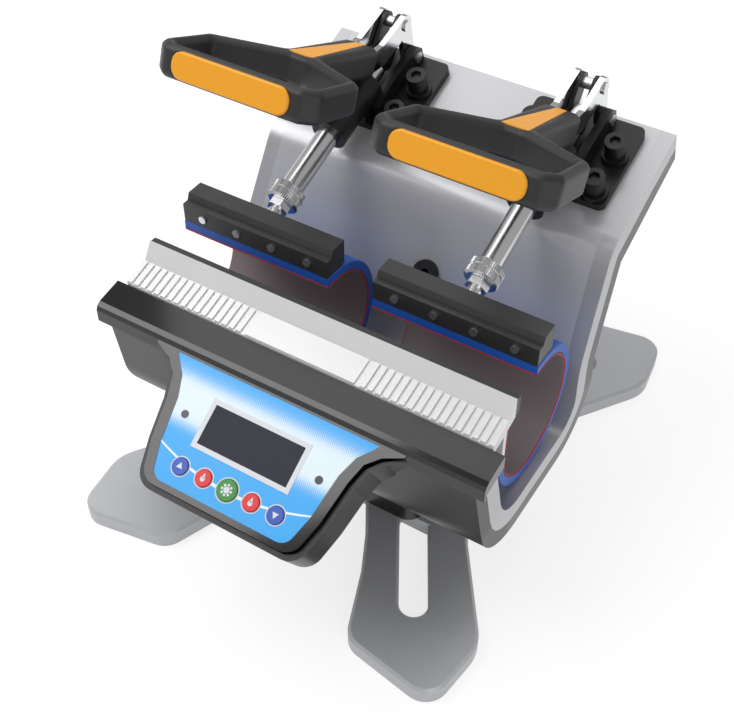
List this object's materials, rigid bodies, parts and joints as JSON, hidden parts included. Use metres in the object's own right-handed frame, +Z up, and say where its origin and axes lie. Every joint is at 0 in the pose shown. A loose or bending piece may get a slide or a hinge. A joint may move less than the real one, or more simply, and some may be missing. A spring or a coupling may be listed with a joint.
{
  "type": "double mug heat press",
  "caption": "Table-top heat press for two mugs side by side: silver cradle body, wrap-round heating mats, toggle clamps with ring handles, sloping control panel and splayed legs.",
  "frame": {"origin": "centre of the base's flat underside, on the table", "axes": "+X to the right-hand station, -Y to the front with the control panel, +Z up"},
  "size_m": [0.3036, 0.3979, 0.3267],
  "materials": {
    "base_grey": "cast, light grey fine sand paint",
    "pad_rubber": "matt black rubber",
    "screw_steel": "zinc plated",
    "cover_black": "black satin powder coat",
    "silver_shell": "silver grey satin paint with a fine grain",
    "housing_charcoal": "charcoal, fine texture",
    "fitting_black": "moulded black",
    "switch_red": "moulded red",
    "bezel_black": "gloss black",
    "panel_blue": "printed sky blue film",
    "display_white": "white",
    "display_dark": "dark display",
    "board_green": "circuit board",
    "lamp_dark": "dark lens",
    "key_blue": "blue key",
    "key_red": "red key",
    "key_green": "green key",
    "rib_silver": "fine satin",
    "bar_black": "dark grey satin",
    "rim_silver": "silver satin paint",
    "mat_lining": "grey release cloth",
    "mat_blue": "blue silicone, thin red seam",
    "clamp_black": "black oxide",
    "lever_chrome": "polished",
    "rod_chrome": "polished",
    "handle_black": "moulded black",
    "insert_amber": "amber grip"
  },
  "bodies": {
    "frame": {"base_casting": "base_grey", "foot_pads": "pad_rubber", "base_screws": "screw_steel", "pedestal": "cover_black", "inner_shell": "silver_shell", "outer_cover": "cover_black", "front_housing": "housing_charcoal", "power_inlet": "fitting_black", "switch_frame": "fitting_black", "cable_grommet": "pad_rubber", "front_bezel": "bezel_black", "panel_overlay": "panel_blue", "display_frame": "display_white", "display_window": "display_dark", "control_board": "board_green", "indicator_lights": "lamp_dark", "ribbed_front_bar": "rib_silver", "mat_clamp_strip": "bar_black", "strip_screws": "screw_steel", "bar_brackets": "silver_shell", "left_side_rim": "rim_silver", "left_mat_heater": "mat_lining", "left_mat_jacket": "mat_blue", "left_clamp_base": "clamp_black", "left_clamp_bolts": "clamp_black", "left_base_pins": "screw_steel", "right_side_rim": "rim_silver", "right_mat_heater": "mat_lining", "right_mat_jacket": "mat_blue", "right_clamp_base": "clamp_black", "right_clamp_bolts": "clamp_black", "right_base_pins": "screw_steel"},
    "left_lever": {"left_lever_plates": "lever_chrome", "left_lever_pin": "screw_steel", "left_handle": "handle_black", "left_grip_insert": "insert_amber", "left_neck_inlay": "insert_amber"},
    "left_link_arm": {"left_link": "clamp_black"},
    "left_rod": {"left_push_rod": "rod_chrome", "left_press_bar": "bar_black", "left_bar_screws": "screw_steel", "left_lock_nut": "screw_steel"},
    "left_nut": {"left_adjusting_nut": "rod_chrome"},
    "right_lever": {"right_lever_plates": "lever_chrome", "right_lever_pin": "screw_steel", "right_handle": "handle_black", "right_grip_insert": "insert_amber", "right_neck_inlay": "insert_amber"},
    "right_link_arm": {"right_link": "clamp_black"},
    "right_rod": {"right_push_rod": "rod_chrome", "right_press_bar": "bar_black", "right_bar_screws": "screw_steel", "right_lock_nut": "screw_steel"},
    "right_nut": {"right_adjusting_nut": "rod_chrome"},
    "key_1_body": {"key_1": "key_blue"},
    "key_2_body": {"key_2": "key_red"},
    "key_3_body": {"key_3": "key_green"},
    "key_4_body": {"key_4": "key_red"},
    "key_5_body": {"key_5": "key_blue"},
    "rocker": {"rocker_switch": "switch_red"}
  },
  "joints": [
    {"name": "left_lever_hinge", "type": "hinge", "parent": "frame", "child": "left_lever", "pos_m": [-0.075, 0.12851, 0.24307], "axis": [1, 0, 0], "range_deg": [-75, 0]},
    {"name": "left_link_hinge", "type": "hinge", "parent": "left_lever", "child": "left_link_arm", "pos_m": [-0.075, 0.12218, 0.26872], "axis": [1, 0, 0], "range_deg": [0, 31]},
    {"name": "left_rod_slide", "type": "slide", "parent": "frame", "child": "left_rod", "axis": [0, -0.9438, -0.3305], "range_m": [-0.021, 0], "deforming": ["left_mat_heater", "left_mat_jacket"]},
    {"name": "left_nut_turn", "type": "hinge", "parent": "left_rod", "child": "left_nut", "pos_m": [-0.075, -0.01481, 0.20454], "axis": [0, 0.9438, 0.3305], "range_deg": [-360, 360]},
    {"name": "right_lever_hinge", "type": "hinge", "parent": "frame", "child": "right_lever", "pos_m": [0.075, 0.12851, 0.24307], "axis": [1, 0, 0], "range_deg": [-75, 0]},
    {"name": "right_link_hinge", "type": "hinge", "parent": "right_lever", "child": "right_link_arm", "pos_m": [0.075, 0.12218, 0.26872], "axis": [1, 0, 0], "range_deg": [0, 31]},
    {"name": "right_rod_slide", "type": "slide", "parent": "frame", "child": "right_rod", "axis": [0, -0.9438, -0.3305], "range_m": [-0.021, 0], "deforming": ["right_mat_heater", "right_mat_jacket"]},
    {"name": "right_nut_turn", "type": "hinge", "parent": "right_rod", "child": "right_nut", "pos_m": [0.075, -0.01481, 0.20454], "axis": [0, 0.9438, 0.3305], "range_deg": [-360, 360]},
    {"name": "key_1_press", "type": "slide", "parent": "frame", "child": "key_1_body", "axis": [0, 0.521, -0.8536], "range_m": [0, 0.0008], "stiffness_N_per_m": 600, "springref_m": -0.0006},
    {"name": "key_2_press", "type": "slide", "parent": "frame", "child": "key_2_body", "axis": [0, 0.521, -0.8536], "range_m": [0, 0.0008], "stiffness_N_per_m": 600, "springref_m": -0.0006},
    {"name": "key_3_press", "type": "slide", "parent": "frame", "child": "key_3_body", "axis": [0, 0.521, -0.8536], "range_m": [0, 0.0008], "stiffness_N_per_m": 600, "springref_m": -0.0006},
    {"name": "key_4_press", "type": "slide", "parent": "frame", "child": "key_4_body", "axis": [0, 0.521, -0.8536], "range_m": [0, 0.0008], "stiffness_N_per_m": 600, "springref_m": -0.0006},
    {"name": "key_5_press", "type": "slide", "parent": "frame", "child": "key_5_body", "axis": [0, 0.521, -0.8536], "range_m": [0, 0.0008], "stiffness_N_per_m": 600, "springref_m": -0.0006},
    {"name": "rocker_tilt", "type": "hinge", "parent": "frame", "child": "rocker", "pos_m": [0.022, 0.03114, 0.102], "axis": [1, 0, 0], "range_deg": [-6, 6]}
  ],
  "couplings": [
    {"joint": "left_link_hinge", "follows": "left_lever_hinge", "ratio": -0.4},
    {"joint": "left_rod_slide", "follows": "left_lever_hinge", "m_per_rad": 0.0156},
    {"joint": "right_link_hinge", "follows": "right_lever_hinge", "ratio": -0.4},
    {"joint": "right_rod_slide", "follows": "right_lever_hinge", "m_per_rad": 0.0156}
  ]
}
